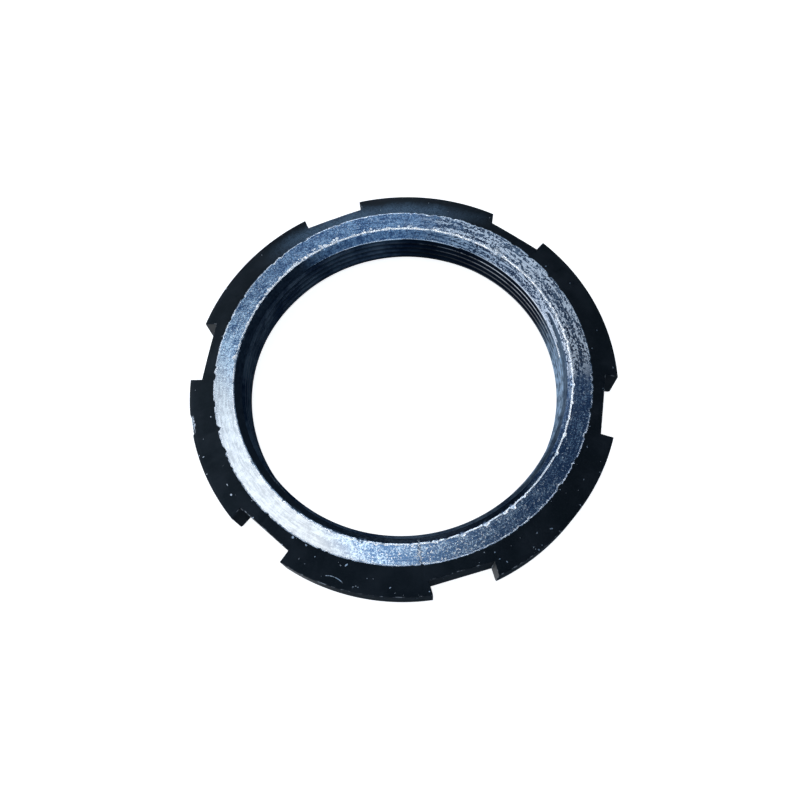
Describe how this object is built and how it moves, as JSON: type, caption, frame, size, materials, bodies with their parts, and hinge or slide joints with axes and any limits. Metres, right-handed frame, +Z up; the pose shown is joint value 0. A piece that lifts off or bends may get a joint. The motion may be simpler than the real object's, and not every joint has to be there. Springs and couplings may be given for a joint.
{
  "type": "slotted round nut",
  "caption": "Flat round lock nut with a threaded bore, a coned upper edge and flat-floored slots in the rim for a hook spanner.",
  "frame": {"origin": "centre of the lower flat face, on the bore's axis", "axes": "+Z up the bore to the face with the coned edge; +X through the middle of a slot"},
  "size_m": [0.099, 0.1, 0.012],
  "materials": {
    "black_steel": "black oxide, satin, with a speckled blue face"
  },
  "bodies": {
    "root": {"slotted_nut": "black_steel"}
  },
  "joints": []
}
